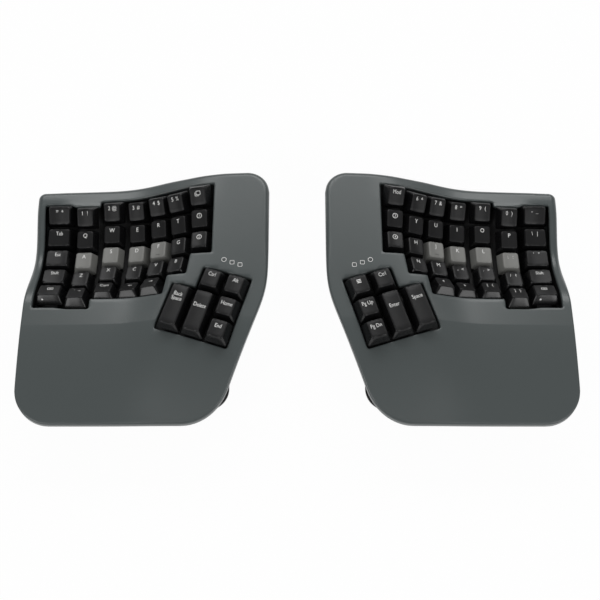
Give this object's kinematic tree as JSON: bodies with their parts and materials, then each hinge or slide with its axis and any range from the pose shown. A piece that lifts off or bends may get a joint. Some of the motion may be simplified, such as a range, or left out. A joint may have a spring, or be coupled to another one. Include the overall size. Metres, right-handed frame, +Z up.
{
  "type": "split ergonomic keyboard",
  "caption": "Split ergonomic keyboard: two tented halves with curved key wells, thumb clusters, palm areas, springing keys and hinged base plates.",
  "frame": {"origin": "on the desk plane, midway between the two halves and midway between front and rear edges", "axes": "+X to the user's right, +Y to the rear, +Z up"},
  "size_m": [0.4242, 0.206, 0.0713],
  "materials": {
    "shell": "fine matte",
    "black_plastic": "matte",
    "keycap": "fine textured",
    "switch_plastic": "satin",
    "circuit_board": "solder mask",
    "battery_foil": "foil",
    "lens": "clear",
    "steel": "zinc plated",
    "rubber": "matte",
    "leg_plastic": "satin"
  },
  "bodies": {
    "left_base": {"left_base_plate": "black_plastic", "left_base_feet": "rubber"},
    "left_module": {"left_top_case": "shell", "left_bottom_case": "black_plastic", "left_key_well": "black_plastic", "left_thumb_plate": "black_plastic", "left_switches": "switch_plastic", "left_controller_board": "circuit_board", "left_battery": "battery_foil", "left_indicator_lenses": "lens", "left_case_screws": "steel"},
    "left_leg": {"left_tent_leg": "leg_plastic"},
    "left_keys_number_outer": {"left_keys_number_outer": "keycap"},
    "left_keys_number_middle": {"left_keys_number_middle": "keycap"},
    "left_keys_number_inner": {"left_keys_number_inner": "keycap"},
    "left_keys_upper_outer": {"left_keys_upper_outer": "keycap"},
    "left_keys_upper_middle": {"left_keys_upper_middle": "keycap"},
    "left_keys_upper_inner": {"left_keys_upper_inner": "keycap"},
    "left_keys_home_outer": {"left_keys_home_outer": "keycap"},
    "left_keys_home_middle": {"left_keys_home_middle": "keycap"},
    "left_keys_home_inner": {"left_keys_home_inner": "keycap"},
    "left_keys_lower_outer": {"left_keys_lower_outer": "keycap"},
    "left_keys_lower_inner": {"left_keys_lower_inner": "keycap"},
    "left_keys_bottom": {"left_keys_bottom": "keycap"},
    "left_thumb_backspace": {"left_thumb_backspace": "keycap"},
    "left_thumb_delete": {"left_thumb_delete": "keycap"},
    "left_thumb_home": {"left_thumb_home": "keycap"},
    "left_thumb_end": {"left_thumb_end": "keycap"},
    "left_thumb_ctrl": {"left_thumb_ctrl": "keycap"},
    "left_thumb_alt": {"left_thumb_alt": "keycap"},
    "right_base": {"right_base_plate": "black_plastic", "right_base_feet": "rubber"},
    "right_module": {"right_top_case": "shell", "right_bottom_case": "black_plastic", "right_key_well": "black_plastic", "right_thumb_plate": "black_plastic", "right_switches": "switch_plastic", "right_controller_board": "circuit_board", "right_battery": "battery_foil", "right_indicator_lenses": "lens", "right_case_screws": "steel"},
    "right_leg": {"right_tent_leg": "leg_plastic"},
    "right_keys_number_outer": {"right_keys_number_outer": "keycap"},
    "right_keys_number_middle": {"right_keys_number_middle": "keycap"},
    "right_keys_number_inner": {"right_keys_number_inner": "keycap"},
    "right_keys_upper_outer": {"right_keys_upper_outer": "keycap"},
    "right_keys_upper_middle": {"right_keys_upper_middle": "keycap"},
    "right_keys_upper_inner": {"right_keys_upper_inner": "keycap"},
    "right_keys_home_outer": {"right_keys_home_outer": "keycap"},
    "right_keys_home_middle": {"right_keys_home_middle": "keycap"},
    "right_keys_home_inner": {"right_keys_home_inner": "keycap"},
    "right_keys_lower_outer": {"right_keys_lower_outer": "keycap"},
    "right_keys_lower_inner": {"right_keys_lower_inner": "keycap"},
    "right_keys_bottom": {"right_keys_bottom": "keycap"},
    "right_thumb_space": {"right_thumb_space": "keycap"},
    "right_thumb_enter": {"right_thumb_enter": "keycap"},
    "right_thumb_page_up": {"right_thumb_page_up": "keycap"},
    "right_thumb_page_down": {"right_thumb_page_down": "keycap"},
    "right_thumb_ctrl": {"right_thumb_ctrl": "keycap"},
    "right_thumb_menu": {"right_thumb_menu": "keycap"}
  },
  "joints": [
    {"name": "left_tent", "type": "hinge", "parent": "left_base", "child": "left_module", "pos_m": [-0.19207, 0, 0.009], "axis": [0, -1, 0], "range_deg": [0, 10]},
    {"name": "left_leg_fold", "type": "hinge", "parent": "left_module", "child": "left_leg", "pos_m": [-0.084, -0.032, 0.0095], "axis": [0, -1, 0], "range_deg": [0, 18.4]},
    {"name": "left_keys_number_outer_press", "type": "slide", "parent": "left_module", "child": "left_keys_number_outer", "axis": [0.0735, 0.4641, -0.8827], "range_m": [0, 0.0038], "stiffness_N_per_m": 300, "springref_m": -0.003},
    {"name": "left_keys_number_middle_press", "type": "slide", "parent": "left_module", "child": "left_keys_number_middle", "axis": [0.2265, 0.4628, -0.857], "range_m": [0, 0.0038], "stiffness_N_per_m": 200, "springref_m": -0.003},
    {"name": "left_keys_number_inner_press", "type": "slide", "parent": "left_module", "child": "left_keys_number_inner", "axis": [0.2869, 0.4634, -0.8384], "range_m": [0, 0.0038], "stiffness_N_per_m": 200, "springref_m": -0.003},
    {"name": "left_keys_upper_outer_press", "type": "slide", "parent": "left_module", "child": "left_keys_upper_outer", "axis": [0.0774, 0.219, -0.9727], "range_m": [0, 0.0038], "stiffness_N_per_m": 300, "springref_m": -0.003},
    {"name": "left_keys_upper_middle_press", "type": "slide", "parent": "left_module", "child": "left_keys_upper_middle", "axis": [0.2474, 0.2175, -0.9442], "range_m": [0, 0.0038], "stiffness_N_per_m": 200, "springref_m": -0.003},
    {"name": "left_keys_upper_inner_press", "type": "slide", "parent": "left_module", "child": "left_keys_upper_inner", "axis": [0.3146, 0.2176, -0.9239], "range_m": [0, 0.0038], "stiffness_N_per_m": 200, "springref_m": -0.003},
    {"name": "left_keys_home_outer_press", "type": "slide", "parent": "left_module", "child": "left_keys_home_outer", "axis": [0.0761, -0.0411, -0.9962], "range_m": [0, 0.0038], "stiffness_N_per_m": 300, "springref_m": -0.003},
    {"name": "left_keys_home_middle_press", "type": "slide", "parent": "left_module", "child": "left_keys_home_middle", "axis": [0.2515, -0.0428, -0.9669], "range_m": [0, 0.0038], "stiffness_N_per_m": 200, "springref_m": -0.003},
    {"name": "left_keys_home_inner_press", "type": "slide", "parent": "left_module", "child": "left_keys_home_inner", "axis": [0.3208, -0.0433, -0.9461], "range_m": [0, 0.0038], "stiffness_N_per_m": 200, "springref_m": -0.003},
    {"name": "left_keys_lower_outer_press", "type": "slide", "parent": "left_module", "child": "left_keys_lower_outer", "axis": [0.0697, -0.2984, -0.9519], "range_m": [0, 0.0038], "stiffness_N_per_m": 300, "springref_m": -0.003},
    {"name": "left_keys_lower_inner_press", "type": "slide", "parent": "left_module", "child": "left_keys_lower_inner", "axis": [0.2862, -0.3011, -0.9097], "range_m": [0, 0.0038], "stiffness_N_per_m": 300, "springref_m": -0.003},
    {"name": "left_keys_bottom_press", "type": "slide", "parent": "left_module", "child": "left_keys_bottom", "axis": [0.1111, -0.5837, -0.8043], "range_m": [0, 0.0038], "stiffness_N_per_m": 500, "springref_m": -0.003},
    {"name": "left_thumb_backspace_press", "type": "slide", "parent": "left_module", "child": "left_thumb_backspace", "axis": [0.0523, 0, -0.9986], "range_m": [0, 0.0038], "stiffness_N_per_m": 100, "springref_m": -0.003},
    {"name": "left_thumb_delete_press", "type": "slide", "parent": "left_module", "child": "left_thumb_delete", "axis": [0.0523, 0, -0.9986], "range_m": [0, 0.0038], "stiffness_N_per_m": 100, "springref_m": -0.003},
    {"name": "left_thumb_home_press", "type": "slide", "parent": "left_module", "child": "left_thumb_home", "axis": [0.0523, 0, -0.9986], "range_m": [0, 0.0038], "stiffness_N_per_m": 100, "springref_m": -0.003},
    {"name": "left_thumb_end_press", "type": "slide", "parent": "left_module", "child": "left_thumb_end", "axis": [0.0523, 0, -0.9986], "range_m": [0, 0.0038], "stiffness_N_per_m": 100, "springref_m": -0.003},
    {"name": "left_thumb_ctrl_press", "type": "slide", "parent": "left_module", "child": "left_thumb_ctrl", "axis": [0.0523, 0, -0.9986], "range_m": [0, 0.0038], "stiffness_N_per_m": 100, "springref_m": -0.003},
    {"name": "left_thumb_alt_press", "type": "slide", "parent": "left_module", "child": "left_thumb_alt", "axis": [0.0523, 0, -0.9986], "range_m": [0, 0.0038], "stiffness_N_per_m": 100, "springref_m": -0.003},
    {"name": "halves_apart", "type": "slide", "parent": "left_base", "child": "right_base", "axis": [1, 0, 0], "range_m": [0, 0.2]},
    {"name": "right_tent", "type": "hinge", "parent": "right_base", "child": "right_module", "pos_m": [0.19207, 0, 0.009], "axis": [0, 1, 0], "range_deg": [0, 10]},
    {"name": "right_leg_fold", "type": "hinge", "parent": "right_module", "child": "right_leg", "pos_m": [0.084, -0.032, 0.0095], "axis": [0, 1, 0], "range_deg": [0, 18.4]},
    {"name": "right_keys_number_outer_press", "type": "slide", "parent": "right_module", "child": "right_keys_number_outer", "axis": [-0.0735, 0.4641, -0.8827], "range_m": [0, 0.0038], "stiffness_N_per_m": 300, "springref_m": -0.003},
    {"name": "right_keys_number_middle_press", "type": "slide", "parent": "right_module", "child": "right_keys_number_middle", "axis": [-0.2265, 0.4628, -0.857], "range_m": [0, 0.0038], "stiffness_N_per_m": 200, "springref_m": -0.003},
    {"name": "right_keys_number_inner_press", "type": "slide", "parent": "right_module", "child": "right_keys_number_inner", "axis": [-0.2869, 0.4634, -0.8384], "range_m": [0, 0.0038], "stiffness_N_per_m": 200, "springref_m": -0.003},
    {"name": "right_keys_upper_outer_press", "type": "slide", "parent": "right_module", "child": "right_keys_upper_outer", "axis": [-0.0774, 0.219, -0.9727], "range_m": [0, 0.0038], "stiffness_N_per_m": 300, "springref_m": -0.003},
    {"name": "right_keys_upper_middle_press", "type": "slide", "parent": "right_module", "child": "right_keys_upper_middle", "axis": [-0.2474, 0.2175, -0.9442], "range_m": [0, 0.0038], "stiffness_N_per_m": 200, "springref_m": -0.003},
    {"name": "right_keys_upper_inner_press", "type": "slide", "parent": "right_module", "child": "right_keys_upper_inner", "axis": [-0.3146, 0.2176, -0.9239], "range_m": [0, 0.0038], "stiffness_N_per_m": 200, "springref_m": -0.003},
    {"name": "right_keys_home_outer_press", "type": "slide", "parent": "right_module", "child": "right_keys_home_outer", "axis": [-0.0761, -0.0411, -0.9962], "range_m": [0, 0.0038], "stiffness_N_per_m": 300, "springref_m": -0.003},
    {"name": "right_keys_home_middle_press", "type": "slide", "parent": "right_module", "child": "right_keys_home_middle", "axis": [-0.2515, -0.0428, -0.9669], "range_m": [0, 0.0038], "stiffness_N_per_m": 200, "springref_m": -0.003},
    {"name": "right_keys_home_inner_press", "type": "slide", "parent": "right_module", "child": "right_keys_home_inner", "axis": [-0.3208, -0.0433, -0.9461], "range_m": [0, 0.0038], "stiffness_N_per_m": 200, "springref_m": -0.003},
    {"name": "right_keys_lower_outer_press", "type": "slide", "parent": "right_module", "child": "right_keys_lower_outer", "axis": [-0.0697, -0.2984, -0.9519], "range_m": [0, 0.0038], "stiffness_N_per_m": 300, "springref_m": -0.003},
    {"name": "right_keys_lower_inner_press", "type": "slide", "parent": "right_module", "child": "right_keys_lower_inner", "axis": [-0.2862, -0.3011, -0.9097], "range_m": [0, 0.0038], "stiffness_N_per_m": 300, "springref_m": -0.003},
    {"name": "right_keys_bottom_press", "type": "slide", "parent": "right_module", "child": "right_keys_bottom", "axis": [-0.1111, -0.5837, -0.8043], "range_m": [0, 0.0038], "stiffness_N_per_m": 500, "springref_m": -0.003},
    {"name": "right_thumb_space_press", "type": "slide", "parent": "right_module", "child": "right_thumb_space", "axis": [-0.0523, 0, -0.9986], "range_m": [0, 0.0038], "stiffness_N_per_m": 100, "springref_m": -0.003},
    {"name": "right_thumb_enter_press", "type": "slide", "parent": "right_module", "child": "right_thumb_enter", "axis": [-0.0523, 0, -0.9986], "range_m": [0, 0.0038], "stiffness_N_per_m": 100, "springref_m": -0.003},
    {"name": "right_thumb_page_up_press", "type": "slide", "parent": "right_module", "child": "right_thumb_page_up", "axis": [-0.0523, 0, -0.9986], "range_m": [0, 0.0038], "stiffness_N_per_m": 100, "springref_m": -0.003},
    {"name": "right_thumb_page_down_press", "type": "slide", "parent": "right_module", "child": "right_thumb_page_down", "axis": [-0.0523, 0, -0.9986], "range_m": [0, 0.0038], "stiffness_N_per_m": 100, "springref_m": -0.003},
    {"name": "right_thumb_ctrl_press", "type": "slide", "parent": "right_module", "child": "right_thumb_ctrl", "axis": [-0.0523, 0, -0.9986], "range_m": [0, 0.0038], "stiffness_N_per_m": 100, "springref_m": -0.003},
    {"name": "right_thumb_menu_press", "type": "slide", "parent": "right_module", "child": "right_thumb_menu", "axis": [-0.0523, 0, -0.9986], "range_m": [0, 0.0038], "stiffness_N_per_m": 100, "springref_m": -0.003}
  ],
  "couplings": [
    {"joint": "left_leg_fold", "follows": "left_tent", "ratio": 1.84},
    {"joint": "right_leg_fold", "follows": "right_tent", "ratio": 1.84}
  ]
}
